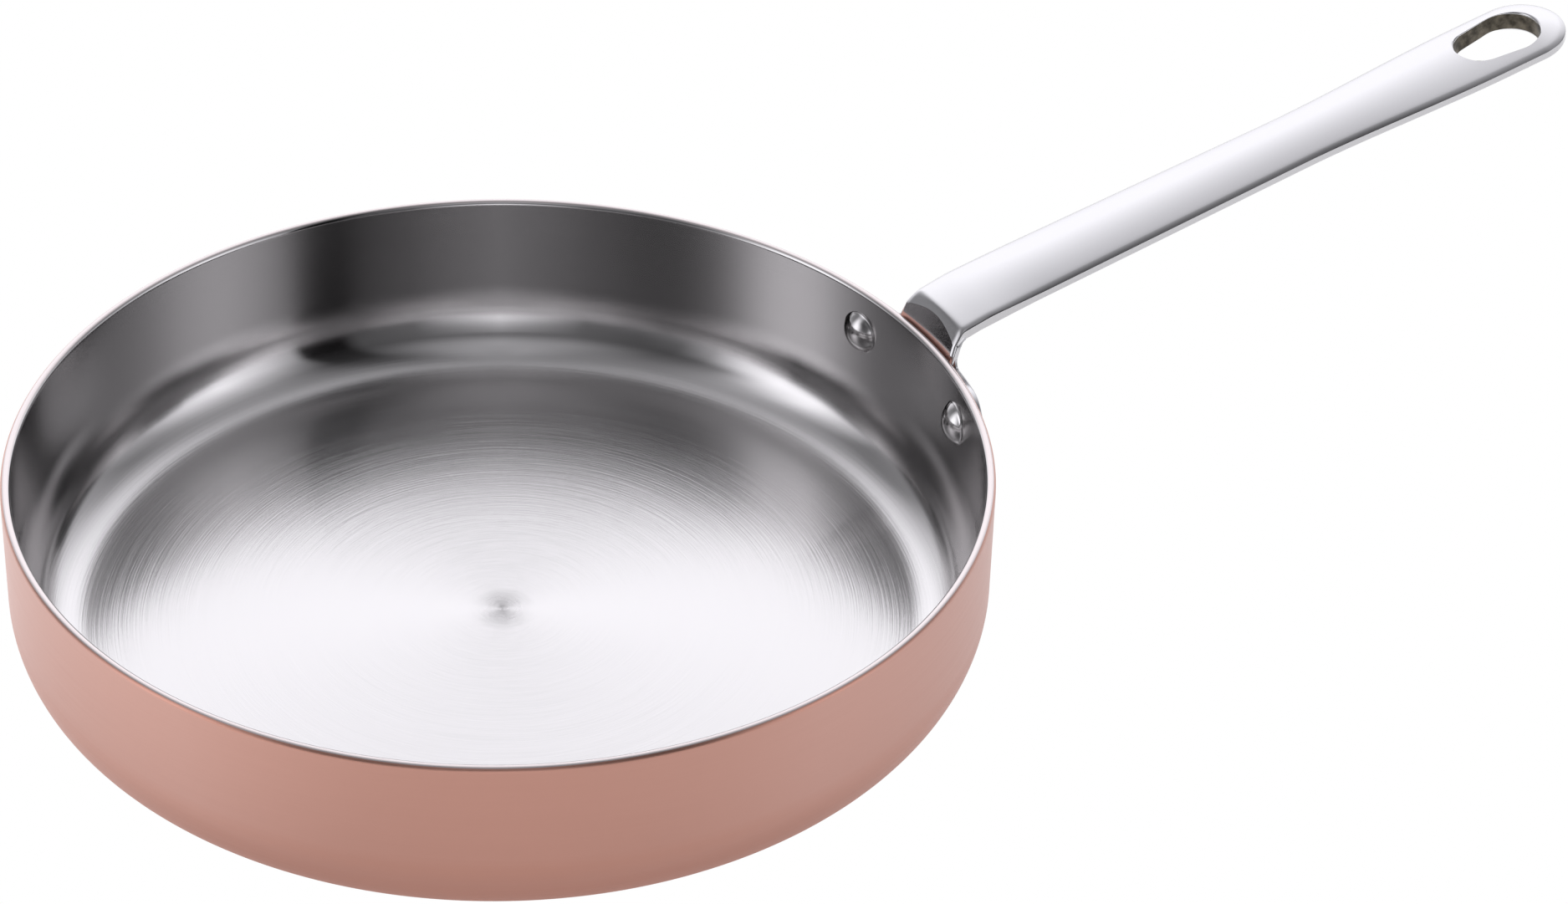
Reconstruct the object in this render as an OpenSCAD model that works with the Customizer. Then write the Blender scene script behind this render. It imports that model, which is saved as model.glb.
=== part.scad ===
// Omelette pan: a clad body pressed from copper, aluminium and steel,
// with a cast steel handle held by two rivets.
// Origin: middle of the flat underside. +X runs along the handle, +Z is up.

/* [Pan body] */
// Outer diameter at the rim
rim_d = 240; // [180:1:320]
// Height of the rim above the flat underside
pan_h = 48; // [38:0.5:70]
// Outer radius of the bend between wall and floor
bend_r = 18.5; // [8:0.5:30]
// Radius of the ball that struck the centre mark in the floor
mark_ball_r = 6; // [2:0.5:20]
// Depth of the centre mark in the floor
mark_depth = 0.18; // [0.05:0.01:0.3]

/* [Clad sheet] */
// Thickness of the copper skin
skin_t = 0.5; // [0.3:0.05:1.2]
// Thickness of the aluminium core
core_t = 1.5; // [1:0.1:3]
// Thickness of the steel liner
liner_t = 0.4; // [0.3:0.05:0.8]

/* [Rivets] */
// Distance between the two rivets along the outside of the wall
rivet_pitch = 48; // [40:0.5:60]
// Depth of the rivets below the rim
rivet_drop = 12; // [11:0.5:16]
// Diameter of the rivet shank
shank_d = 6; // [4:0.1:8]
// Clearance between a shank and its hole, on the radius
rivet_play = 0.05; // [0.03:0.01:0.15]
// Diameter of the domed head inside the pan
head_d = 11.4; // [9:0.1:14]
// Height of the domed head inside the pan
head_h = 3; // [1.5:0.1:4]
// Diameter of the set head outside the flange
tail_d = 9.6; // [8.6:0.1:13]
// Height of the set head outside the flange
tail_h = 1.9; // [1:0.1:3]

/* [Handle flange and neck] */
// Thickness of the curved flange
flange_t = 2.4; // [1.8:0.1:4]
// Radius of the flange lobe round each rivet
lobe_r = 9.3; // [7:0.1:10]
// Width of the neck where it leaves the flange
neck_w = 25; // [20:0.2:28]
// Gap between the wall and the neck at the foot of the lip
neck_gap = 1.75; // [0.8:0.05:2.4]
// Thickness of the leaning neck, measured level
neck_t = 2.1; // [1.6:0.1:4]
// Fillet between the back of the neck and the underside of the strap
neck_fillet = 2.6; // [1:0.1:4]
// Fillet between the sides of the neck and the top of the flange
side_fillet = 2.5; // [0.5:0.5:4]
// Rounding of the neck's upright front corners
neck_round = 1.2; // [0.4:0.1:1.6]

/* [Handle strap] */
// Angle of the strap above level
strap_tilt = 11; // [0:0.5:25]
// Distance of the strap's root line from the wall
root_gap = 4; // [3:0.1:6]
// Length of the strap from its root line to its tip
strap_l = 193.5; // [140:0.5:240]
// Height of the strap's edge line above the rim, at its root line
strap_rise = 6.6; // [5.5:0.1:12]
// Width of the strap at its root line
root_w = 22.4; // [18:0.2:26]
// Width of the strap a little further out, where its long taper begins
front_w = 22.8; // [18:0.2:26]
// Width of the strap at its waist
waist_w = 20.7; // [16:0.2:26]
// Distance of the waist from the back of the lip
waist_x = 108; // [60:1:120]
// Width of the strap at its rounded end
end_w = 25; // [20:0.2:34]
// Thickness of the strap's edge
edge_t = 2.8; // [2:0.1:5]
// Extra thickness of the edge at the root
root_extra_t = 0.9; // [0:0.1:2]
// Rise of the crowned top above the edge line
crown_h = 1.9; // [0.4:0.1:3]
// Swell of the underside below the edge
belly_h = 2.2; // [0.2:0.1:3]
// Dip of the strap's edge line at the very root
root_dip = 0.6; // [0:0.1:1.5]
// Radius on the lower corners of the strap
under_r = 1; // [0.4:0.1:1.2]
// Radius on the upper corners of the strap
upper_r = 0.5; // [0.2:0.1:0.8]
// Radius on the upper corners where the strap turns down into the neck
shoulder_r = 1.1; // [0.8:0.1:1.8]

/* [Lip at the root of the strap] */
// Width over the foot of the lip
lip_w = 24.4; // [20:0.2:28]
// Length of the lip along the strap, at its outer corners
lip_l = 3.8; // [2.4:0.1:4.2]
// Fall of the lip for each unit of its length
lip_slope = 0.88; // [0.6:0.01:1]

/* [Hanging hole] */
// Radius of the hole's outer end
hole_big_r = 8.5; // [5:0.1:10]
// Radius of the hole's inner end
hole_small_r = 7.3; // [4:0.1:9]
// Distance between the centres of the two ends
hole_run = 8.6; // [4:0.1:20]
// Metal left between the hole and the tip
hole_rim = 7.3; // [4:0.1:12]

/* [Hidden] */
$fn = 96;
eps = 0.01;

rim_r = rim_d / 2;
wall_t = skin_t + core_t + liner_t;
inner_r = rim_r - wall_t;
flange_r = rim_r + flange_t;
root_r = rim_r + root_gap;
rivet_z = pan_h - rivet_drop;
rivet_az = rivet_pitch / rim_r * 180 / PI / 2;
hole_r = shank_d / 2 + rivet_play;
flange_top = rivet_z + lobe_r;
flange_low = rivet_z - lobe_r;

end_r = end_w / 2;
end_x = strap_l - end_r;
flare_x = end_x - end_r;
taper_x = 26;
front_run = lip_l + 1.6;
foot_fall = root_dip + lip_slope * lip_l;
foot_z = pan_h + strap_rise - lip_l * sin(strap_tilt) - foot_fall * cos(strap_tilt);
lean = atan(neck_gap / (foot_z - flange_top));
hole_big_x = strap_l - hole_rim - hole_big_r;
hole_small_x = hole_big_x - hole_run;

// Filled half section of the pan, drawn in by depth from the outside
module cup_2d(depth) {
    r = bend_r - depth;
    translate([0, depth])
        square([rim_r - bend_r, pan_h]);
    translate([0, bend_r])
        square([rim_r - depth, pan_h]);
    translate([rim_r - bend_r, bend_r])
        circle(r = r);
}

// Region under the rounded lip that all three sheets share
module lip_2d() {
    square([rim_r + 1, pan_h - wall_t / 2]);
    translate([rim_r - wall_t / 2, pan_h - wall_t / 2])
        circle(d = wall_t);
}

// One sheet of the clad body, between two depths from the outside
module sheet(from_depth, to_depth) {
    difference() {
        rotate_extrude($fn = 180)
            intersection() {
                difference() {
                    cup_2d(from_depth);
                    cup_2d(to_depth);
                }
                lip_2d();
            }
        rivet_holes();
    }
}

// Frame of a rivet: origin on the outside of the wall, +Z outwards
module at_rivet(side) {
    rotate([0, 0, side * rivet_az])
        translate([rim_r, 0, rivet_z])
            rotate([0, 90, 0])
                children();
}

// Bores for both rivets, through the wall and the flange
module rivet_holes() {
    for (side = [-1, 1])
        at_rivet(side)
            translate([0, 0, -wall_t - 3])
                cylinder(r = hole_r, h = wall_t + flange_t + 8);
}

// Dome with a flat base at z = 0 and a short skirt below it
module dome(d, h, skirt) {
    ball_r = (d * d / 4 + h * h) / (2 * h);
    rotate_extrude()
        intersection() {
            union() {
                translate([0, h - ball_r])
                    circle(r = ball_r);
                translate([0, -skirt])
                    square([d / 2, skirt]);
            }
            translate([0, -skirt])
                square([d / 2, h + skirt]);
        }
}

// Rivet with a domed head seated on the liner and a set head on the flange
module rivet(side) {
    seat = 0.4;
    at_rivet(side)
        translate([0, 0, -wall_t - seat])
            cylinder(d = shank_d, h = wall_t + flange_t + 2 * seat);
    intersection() {
        at_rivet(side)
            translate([0, 0, -wall_t - seat / 2])
                mirror([0, 0, 1])
                    dome(head_d, head_h, seat);
        cylinder(r = inner_r, h = pan_h * 2, $fn = 180);
    }
    difference() {
        at_rivet(side)
            translate([0, 0, flange_t])
                dome(tail_d, tail_h, seat);
        cylinder(r = flange_r, h = pan_h * 2, $fn = 180);
    }
}

// Half width of the strap at distance x behind the root
function smooth(u) = let (v = min(max(u, 0), 1)) v * v * (3 - 2 * v);
function mix(a, b, u) = a + (b - a) * u;
function half_w(x) =
    x < 0 ? mix(root_w, lip_w, -x / lip_l) / 2 :
    x < taper_x ? mix(root_w, front_w, smooth(x / taper_x)) / 2 :
    x < waist_x ? mix(front_w, waist_w, (x - taper_x) / (waist_x - taper_x)) / 2 :
    mix(waist_w, end_w, smooth((x - waist_x) / (flare_x - waist_x))) / 2;

// Height of the edge line, the crown and the underside at distance x
function edge_z(x) = x < 0 ? -root_dip + lip_slope * x : -root_dip * (1 - smooth(x / 10));
function crown(x) = mix(0.2, crown_h, smooth(x / 30));
function under_z(x) =
    x < 0 ? under_z(0) + lip_slope * x :
    -edge_t - root_extra_t * (1 - smooth(x / taper_x));
function belly(x) = mix(0.5, belly_h, smooth(x / taper_x));

// Radii of the upper and lower corners at distance x
function top_r(x) =
    mix(shoulder_r, upper_r, smooth(x / 14));
function low_r(x) = mix(0.2, under_r, smooth(x / 6));

// Half section from the middle of the underside round to the crown, as
// [distance from the spine, height]
function half_section(x, w) =
    let (z0 = under_z(x), z1 = edge_z(x), b = belly(x), c = crown(x), a = low_r(x), r = top_r(x))
    concat(
        [for (t = [0, 0.35, 0.7, 0.9]) [t * (w - a), z0 - b * (1 - t * t)]],
        [for (g = [0 : 30 : 90]) [w - a + a * sin(g), z0 + a - a * cos(g)]],
        [for (g = [0 : 22.5 : 90]) [w - r + r * cos(g), z1 - r + r * sin(g)]],
        [for (t = [0.9, 0.75, 0.55, 0.35, 0.15, 0]) [t * (w - r), z1 + c * (1 - t * t)]]
    );

// Spokes round the strap's outline: foot on the spine, direction, half width
side_x = concat([for (i = [2 : -1 : 0]) -i * front_run / 2],
                [1.5, 3, 4.5, 6, 8, 10, 12, 15, 19, 24, 30],
                [for (i = [1 : 6]) mix(30, waist_x, i / 6)],
                [for (i = [1 : 12]) mix(waist_x, end_x, i / 12)]);
side_n = len(side_x);
spokes = concat(
    [for (i = [0 : side_n - 1]) [side_x[i], 90, half_w(side_x[i])]],
    [for (a = [80 : -10 : -80]) [end_x, a, end_r]],
    [for (i = [side_n - 1 : -1 : 0]) [side_x[i], -90, half_w(side_x[i])]]
);
function spoke_points(s) = [for (p = half_section(s[0], s[2]))
    [s[0] + p[0] * cos(s[1]), p[0] * sin(s[1]), p[1]]];

// Crowned strap, lofted from spoke to spoke
module strap() {
    rows = [for (s = spokes) spoke_points(s)];
    n = len(rows);
    k = len(rows[0]);
    pts = [for (row = rows) each row];
    skin = [for (i = [0 : n - 2], j = [0 : k - 2])
        each [[i * k + j, (i + 1) * k + j, (i + 1) * k + j + 1],
              [i * k + j, (i + 1) * k + j + 1, i * k + j + 1]]];
    whole = [for (f = skin)
        if (pts[f[0]] != pts[f[1]] && pts[f[1]] != pts[f[2]] && pts[f[0]] != pts[f[2]]) f];
    front = concat([for (j = [0 : k - 1]) j], [for (j = [k - 2 : -1 : 1]) (n - 1) * k + j]);
    polyhedron(points = pts, faces = concat(whole, [front]), convexity = 4);
}

// Frame of the strap: origin on its edge line at the back of the lip
module at_strap() {
    translate([root_r, 0, pan_h + strap_rise])
        rotate([0, -strap_tilt, 0])
            children();
}

// Outline of the hanging hole: two ends joined by their common tangents
module hole_2d() {
    a = asin((hole_big_r - hole_small_r) / hole_run);
    translate([hole_big_x, 0])
        circle(r = hole_big_r);
    translate([hole_small_x, 0])
        circle(r = hole_small_r);
    polygon([for (s = [1, -1], e = s > 0 ? [0, 1] : [1, 0])
        e == 0 ?
            [hole_big_x - hole_big_r * sin(a), s * hole_big_r * cos(a)] :
            [hole_small_x - hole_small_r * sin(a), s * hole_small_r * cos(a)]]);
}

// Section of the leaning neck, from inside the flange up into the strap
module neck_2d() {
    u_slope = tan(strap_tilt);
    u_z = pan_h + strap_rise - (edge_t + root_extra_t) / cos(strap_tilt) - root_r * u_slope;
    b_r = rim_r + neck_t - flange_top * tan(lean);
    p = neck_fillet + b_r * cos(lean);
    q = neck_fillet - u_z * cos(strap_tilt);
    c = [p * cos(strap_tilt) - q * sin(lean), p * sin(strap_tilt) - q * cos(lean)]
        / cos(lean + strap_tilt);
    back = c + neck_fillet * [-cos(lean), sin(lean)];
    under = c + neck_fillet * [-sin(strap_tilt), cos(strap_tilt)];
    difference() {
        polygon([
            [rim_r - 1, flange_top - 4],
            [flange_r - 0.6, flange_top - 4],
            [flange_r - 0.6, flange_top + (flange_t - 0.6 - neck_t) / tan(lean)],
            back,
            c,
            under,
            under + [-0.2, 1],
            [root_r, foot_z + 1.4],
            [rim_r - 1, foot_z - 2.6]
        ]);
        translate(c)
            circle(r = neck_fillet);
    }
}

// Front view of the neck: narrow under the strap, filleted to the flange
module neck_front_2d() {
    half = neck_w / 2;
    difference() {
        for (m = [0, 1])
            mirror([m, 0])
                polygon([
                    [-1, flange_top - 5],
                    [half + side_fillet, flange_top - 5],
                    [half + side_fillet, flange_top + side_fillet],
                    [half, flange_top + side_fillet],
                    [lip_w / 2, foot_z],
                    [root_w / 2, foot_z + 1.5],
                    [root_w / 2, foot_z + 4],
                    [-1, foot_z + 4]
                ]);
        for (m = [-1, 1])
            translate([m * (half + side_fillet), flange_top + side_fillet])
                circle(r = side_fillet);
    }
}

// Room kept for the wall: a cylinder, opening to a cone above the flange
module wall_room() {
    h = 30;
    rotate_extrude($fn = 180)
        polygon([
            [0, 0],
            [rim_r, 0],
            [rim_r, flange_top],
            [rim_r + h * tan(lean), flange_top + h],
            [0, flange_top + h]
        ]);
}

// Cutters that round the neck's two upright front corners
module corner_cutters() {
    side = lip_w / 2 - neck_round;
    front = sqrt(pow(rim_r + neck_gap, 2) - side * side) + neck_round / cos(lean);
    splay = atan((neck_w - lip_w) / 2 / (foot_z - flange_top - side_fillet));
    for (m = [0, 1])
        mirror([0, m, 0])
            translate([front, side, foot_z])
                rotate([splay, lean, 0])
                    translate([0, 0, -8])
                        linear_extrude(14)
                            difference() {
                                translate([-6, 0])
                                    square([6, 8]);
                                circle(r = neck_round);
                            }
}

// Curved flange with a lobe round each rivet
module flange() {
    intersection() {
        difference() {
            cylinder(r = flange_r, h = pan_h, $fn = 180);
            translate([0, 0, -1])
                cylinder(r = rim_r, h = pan_h + 2, $fn = 180);
        }
        union() {
            for (side = [-1, 1])
                at_rivet(side)
                    translate([0, 0, -2])
                        cylinder(r = lobe_r, h = flange_t + 5);
            rotate([0, 0, -rivet_az])
                translate([0, 0, flange_low])
                    rotate_extrude(angle = 2 * rivet_az, $fn = 180)
                        translate([rim_r - 2, 0])
                            square([flange_t + 4, 2 * lobe_r]);
        }
    }
}

module copper_skin() {
    color([0.78, 0.55, 0.48])
        sheet(0, skin_t);
}

module aluminium_core() {
    color([0.75, 0.76, 0.78])
        sheet(skin_t, skin_t + core_t);
}

module steel_liner() {
    color([0.85, 0.85, 0.87])
        difference() {
            sheet(skin_t + core_t, wall_t);
            translate([0, 0, wall_t - mark_depth + mark_ball_r])
                sphere(r = mark_ball_r);
        }
}

module handle() {
    color([0.88, 0.88, 0.9])
        difference() {
            union() {
                flange();
                difference() {
                    union() {
                        intersection() {
                            rotate_extrude($fn = 180)
                                neck_2d();
                            translate([root_r + 30, 0, 0])
                                rotate([90, 0, -90])
                                    linear_extrude(60)
                                        neck_front_2d();
                        }
                        at_strap()
                            strap();
                    }
                    wall_room();
                    corner_cutters();
                }
            }
            rivet_holes();
            at_strap()
                translate([0, 0, -edge_t - belly_h - 2])
                    linear_extrude(edge_t + belly_h + crown_h + 5)
                        hole_2d();
        }
}

module rivet_left() {
    color([0.9, 0.9, 0.92])
        rivet(1);
}

module rivet_right() {
    color([0.9, 0.9, 0.92])
        rivet(-1);
}

copper_skin();
aluminium_core();
steel_liner();
handle();
rivet_left();
rivet_right();
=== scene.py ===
"""Omelette pan: a clad copper and steel body with a cast, riveted steel handle."""

import math

import bmesh
import bpy
from mathutils import Matrix, Vector


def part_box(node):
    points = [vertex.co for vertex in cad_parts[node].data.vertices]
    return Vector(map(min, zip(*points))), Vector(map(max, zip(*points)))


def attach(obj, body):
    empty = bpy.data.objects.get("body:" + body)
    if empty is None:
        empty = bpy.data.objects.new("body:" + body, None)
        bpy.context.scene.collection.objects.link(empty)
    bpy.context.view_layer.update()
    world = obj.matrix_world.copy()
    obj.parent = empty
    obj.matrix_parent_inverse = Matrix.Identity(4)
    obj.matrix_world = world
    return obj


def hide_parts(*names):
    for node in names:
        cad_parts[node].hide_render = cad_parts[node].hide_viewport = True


bl_info = {
    "name": "Omelette Pan",
    "version": (1, 0, 0),
    "blender": (4, 5, 0),
    "location": "3D View > Sidebar > Omelette Pan",
    "description": "Makes a clad omelette pan, its handle, its rivets and a pale studio",
    "category": "Add Mesh",
}

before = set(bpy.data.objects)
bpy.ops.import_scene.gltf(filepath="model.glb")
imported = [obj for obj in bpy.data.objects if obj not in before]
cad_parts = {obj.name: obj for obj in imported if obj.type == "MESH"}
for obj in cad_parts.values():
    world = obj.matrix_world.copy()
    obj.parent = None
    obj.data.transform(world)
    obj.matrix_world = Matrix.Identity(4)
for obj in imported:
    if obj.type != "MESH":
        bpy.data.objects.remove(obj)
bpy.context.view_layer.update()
BODY_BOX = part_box("copper_skin")

MM = 0.001
# The handle points this far round from the photograph's right
HANDLE_TURN = math.radians(26.5)

# Facets round a full turn of the body and of a rivet
BODY_FACETS = 288
RIVET_FACETS = 72
# Points closer than this become one
WELD = 1e-6
# Edges that turn by less than this many degrees are shaded smooth
SMOOTH_ANGLE = 35
HANDLE_SMOOTH_ANGLE = 38


def linear(code):
    """Linear RGBA from an sRGB hex colour."""
    parts = [int(code[i:i + 2], 16) / 255 for i in (1, 3, 5)]
    return [c / 12.92 if c <= 0.04045 else ((c + 0.055) / 1.055) ** 2.4 for c in parts] + [1.0]


def length(name, description, size):
    """A length property with its default in millimetres."""
    return bpy.props.FloatProperty(name=name, description=description, default=size * MM,
                                   min=0.0, precision=5, unit="LENGTH")


def colour(name, description, code):
    """A colour property with its default as an sRGB hex code."""
    return bpy.props.FloatVectorProperty(name=name, description=description, size=3, min=0.0,
                                         max=1.0, subtype="COLOR", default=linear(code)[:3])


# Sizes and colours a user would change

class PanBodySizes(bpy.types.PropertyGroup):
    """Sizes of the pressed body and of its three bonded sheets"""

    rim_d: length("Rim diameter", "Outer diameter at the rim",
                  round((BODY_BOX[1][0] - BODY_BOX[0][0]) / MM, 3))
    height: length("Height", "Height of the rim above the flat underside", 48)
    bend_r: length("Bend radius", "Outer radius of the bend between wall and floor", 18.5)
    skin_t: length("Copper skin", "Thickness of the copper skin", 0.5)
    core_t: length("Aluminium core", "Thickness of the aluminium core", 1.5)
    liner_t: length("Steel liner", "Thickness of the steel liner", 0.4)
    mark_ball_r: length("Mark ball", "Radius of the ball that struck the centre mark", 6)
    mark_depth: length("Mark depth", "Depth of the centre mark in the floor", 0.18)


class RivetSizes(bpy.types.PropertyGroup):
    """Sizes and places of the two rivets"""

    pitch: length("Pitch", "Distance between the rivets along the outside of the wall", 48)
    drop: length("Drop", "Depth of the rivets below the rim", 12)
    shank_d: length("Shank", "Diameter of the shank", 6)
    head_d: length("Head", "Diameter of the domed head inside the pan", 11.4)
    head_h: length("Head height", "Height of the domed head inside the pan", 3)
    tail_d: length("Set head", "Diameter of the set head outside the flange", 9.6)
    tail_h: length("Set head height", "Height of the set head outside the flange", 1.9)


class HandleSizes(bpy.types.PropertyGroup):
    """Sizes of the cast handle: flange, leaning neck, lip and crowned strap"""

    flange_t: length("Flange", "Thickness of the curved flange", 2.4)
    lobe_r: length("Lobe radius", "Radius of the flange round each rivet", 9.3)
    neck_w: length("Neck width", "Width of the neck where it leaves the flange", 25)
    neck_gap: length("Neck gap", "Gap between wall and neck at the foot of the lip", 1.75)
    neck_t: length("Neck thickness", "Thickness of the leaning neck", 2.1)
    neck_fillet: length("Neck fillet", "Fillet between neck and strap", 2.6)
    side_fillet: length("Side fillet", "Fillet between neck and flange", 2.5)
    neck_round: length("Corner rounding", "Rounding of the neck's front corners", 1.2)
    tilt: bpy.props.FloatProperty(name="Tilt", description="Angle of the strap above level",
                                  default=math.radians(11), subtype="ANGLE", unit="ROTATION")
    root_gap: length("Root gap", "Distance of the strap's root line from the wall", 4)
    strap_l: length("Strap length", "Length from the root line to the tip", 193.5)
    rise: length("Strap rise", "Height of the edge line above the rim at the root", 6.6)
    root_w: length("Root width", "Width at the root line", 22.4)
    front_w: length("Front width", "Width where the long taper begins", 22.8)
    waist_w: length("Waist width", "Width at the waist", 20.7)
    waist_x: length("Waist place", "Distance of the waist from the root line", 108)
    end_w: length("End width", "Width at the rounded end", 25)
    edge_t: length("Edge", "Thickness of the strap's edge", 2.8)
    root_extra_t: length("Root thickening", "Extra thickness of the edge at the root", 0.9)
    crown_h: length("Crown", "Rise of the crowned top above the edge line", 1.9)
    belly_h: length("Belly", "Swell of the underside below the edge", 2.2)
    root_dip: length("Root dip", "Dip of the edge line at the very root", 0.6)
    under_r: length("Lower corners", "Radius on the lower corners", 1)
    brow_h: length("Brow", "Extra fall of the crown towards its edges", 0.35)
    upper_r: length("Upper corners", "Radius on the upper corners", 0.25)
    shoulder_r: length("Shoulder", "Radius on the upper corners at the root", 0.6)
    lip_edge: length("Lip edge", "Softness of the edge between top and lip", 0.9)
    lip_w: length("Lip width", "Width over the foot of the lip", 24.4)
    lip_l: length("Lip length", "Length of the lip along the strap", 3.8)
    lip_slope: bpy.props.FloatProperty(name="Lip slope", default=0.88, min=0.0,
                                       description="Fall of the lip for each unit of its length")
    hole_big_r: length("Hole, outer end", "Radius of the hanging hole's outer end", 8.5)
    hole_small_r: length("Hole, inner end", "Radius of the hanging hole's inner end", 7.3)
    hole_run: length("Hole run", "Distance between the centres of the hole's ends", 8.6)
    hole_rim: length("Hole rim", "Metal left between the hole and the tip", 7.3)


class Finishes(bpy.types.PropertyGroup):
    """Colours of the metals and of the studio"""

    copper: colour("Copper", "Colour of the brushed copper skin", "#C09081")
    steel: colour("Liner steel", "Colour of the brushed steel liner", "#C5C3C3")
    core: colour("Core", "Colour of the aluminium edge at the rim", "#C8C0BF")
    cast: colour("Cast steel", "Colour of the polished handle", "#C3C2C3")
    casting: colour("Casting skin", "Colour inside the hanging hole", "#655F54")
    rivet: colour("Rivet steel", "Colour of the polished rivets", "#C4C2C2")
    floor: colour("Floor", "Colour of the studio floor", "#F4F4F4")


# Small tools for nodes, meshes and objects

def node(tree, kind, sockets=None, **settings):
    """Adds a node, gives it its settings, and fills its sockets with values or links."""
    made = tree.nodes.new("ShaderNode" + kind)
    for name, value in settings.items():
        setattr(made, name, value)
    for name, value in (sockets or {}).items():
        if isinstance(value, bpy.types.NodeSocket):
            tree.links.new(value, made.inputs[name])
        else:
            made.inputs[name].default_value = value
    return made


def finish(bm, name, materials, replaced, smooth_angle=SMOOTH_ANGLE):
    """Makes a closed bmesh into a piece with its materials, slot and CAD node."""
    mesh = bpy.data.meshes.new(name)
    bmesh.ops.recalc_face_normals(bm, faces=bm.faces)
    bm.to_mesh(mesh)
    bm.free()
    for material in materials:
        mesh.materials.append(material)
    mesh.shade_smooth()
    mesh.set_sharp_from_angle(angle=math.radians(smooth_angle))
    piece = bpy.data.objects.new(name, mesh)
    bpy.context.scene.collection.objects.link(piece)
    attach(piece, "root")
    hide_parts(replaced)
    return piece


def chain(bm, points, closed=False):
    """New vertices joined by edges, in order."""
    verts = [bm.verts.new(p) for p in points]
    ends = verts[1:] + (verts[:1] if closed else [])
    edges = [bm.edges.new(pair) for pair in zip(verts, ends)]
    return verts, edges


def pull(bm, verts, edges, points):
    """Extrudes a chain of edges and moves its new end to the given points."""
    made = bmesh.ops.extrude_edge_only(bm, edges=edges)["geom"]
    new = {v for v in made if isinstance(v, bmesh.types.BMVert)}
    ends = [next(e.other_vert(v) for e in v.link_edges if e.other_vert(v) in new) for v in verts]
    for vert, point in zip(ends, points):
        vert.co = point
    return ends, [e for e in made if isinstance(e, bmesh.types.BMEdge)
                  and e.verts[0] in new and e.verts[1] in new]


def sin_deg(angle):
    """Sine of an angle in degrees."""
    return math.sin(math.radians(angle))


def cos_deg(angle):
    """Cosine of an angle in degrees."""
    return math.cos(math.radians(angle))


def arc(cx, cz, r, start, end, steps):
    """Points of an arc from start to end, in degrees."""
    turns = [start + (end - start) * i / steps for i in range(steps + 1)]
    return [(cx + r * cos_deg(t), cz + r * sin_deg(t)) for t in turns]


def spun(points, steps=BODY_FACETS):
    """A solid turned round Z from a half section that starts and ends on the axis."""
    bm = bmesh.new()
    verts, edges = chain(bm, [(x, 0, z) for x, z in points])
    bmesh.ops.spin(bm, geom=verts + edges, cent=(0, 0, 0), axis=(0, 0, 1),
                   angle=math.tau, steps=steps, use_merge=True)
    bmesh.ops.remove_doubles(bm, verts=bm.verts, dist=WELD)
    return bm


def sector(points, half_turn, steps):
    """A closed slice turned round Z from a closed half section."""
    bm = bmesh.new()
    verts, edges = chain(bm, [(x, 0, z) for x, z in points], closed=True)
    bmesh.ops.rotate(bm, verts=verts, cent=(0, 0, 0), matrix=Matrix.Rotation(-half_turn, 3, "Z"))
    bmesh.ops.spin(bm, geom=verts + edges, cent=(0, 0, 0), axis=(0, 0, 1),
                   angle=2 * half_turn, steps=steps)
    bmesh.ops.holes_fill(bm, edges=bm.edges, sides=0)
    return bm


def prism(points, depth, place):
    """A flat outline in XY, extruded along Z and put in its place."""
    bm = bmesh.new()
    verts = [bm.verts.new((x, y, 0)) for x, y in points]
    face = bm.faces.new(verts)
    made = bmesh.ops.extrude_face_region(bm, geom=[face])["geom"]
    bmesh.ops.translate(bm, verts=[v for v in made if isinstance(v, bmesh.types.BMVert)],
                        vec=(0, 0, depth))
    # The extrusion can use up the first face, so it is put back
    if len(bm.faces) == len(points) + 1:
        bm.faces.new(reversed(verts))
    bmesh.ops.transform(bm, matrix=place, verts=bm.verts)
    return bm


def loose(bm, name, materials=()):
    """A bare object from a bmesh, for cutting and joining."""
    bmesh.ops.recalc_face_normals(bm, faces=bm.faces)
    mesh = bpy.data.meshes.new(name)
    bm.to_mesh(mesh)
    bm.free()
    for material in materials:
        mesh.materials.append(material)
    made = bpy.data.objects.new(name, mesh)
    bpy.context.scene.collection.objects.link(made)
    return made


def carve(piece, tool, operation):
    """Joins, cuts or crosses a solid with another one, which is used up."""
    cut = piece.modifiers.new("cut", "BOOLEAN")
    cut.operation = operation
    cut.object = tool
    cut.solver = "EXACT"
    cut.material_mode = "TRANSFER"
    result = bpy.data.meshes.new_from_object(piece.evaluated_get(
        bpy.context.evaluated_depsgraph_get()))
    piece.modifiers.clear()
    piece.data = result
    bpy.data.objects.remove(tool)
    if not result.polygons:
        raise RuntimeError("nothing is left of " + piece.name)


# Materials

def rgba(shade, tint=(1.0, 1.0, 1.0)):
    """A colour with its alpha, tinted channel by channel if asked."""
    return [c * k for c, k in zip(shade, tint)] + [1.0]


def map_range(tree, value, start, end, low=0.0, high=1.0):
    """Turns a value that runs from start to end into one that runs from low to high."""
    return node(tree, "MapRange", {"Value": value, "From Min": start, "From Max": end,
                                   "To Min": low, "To Max": high}).outputs[0]


def math_node(tree, operation, *values):
    """The result of one sum."""
    return node(tree, "Math", dict(enumerate(values)), operation=operation).outputs[0]


def vector_node(tree, operation, *values):
    """The vector that one sum of vectors gives."""
    return node(tree, "VectorMath", dict(enumerate(values)), operation=operation).outputs[0]


def noise(tree, place, size, detail):
    """Noise whose largest spots are of one size."""
    return node(tree, "TexNoise", {"Vector": place, "Scale": 1 / size,
                                   "Detail": detail}).outputs["Fac"]


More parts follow.
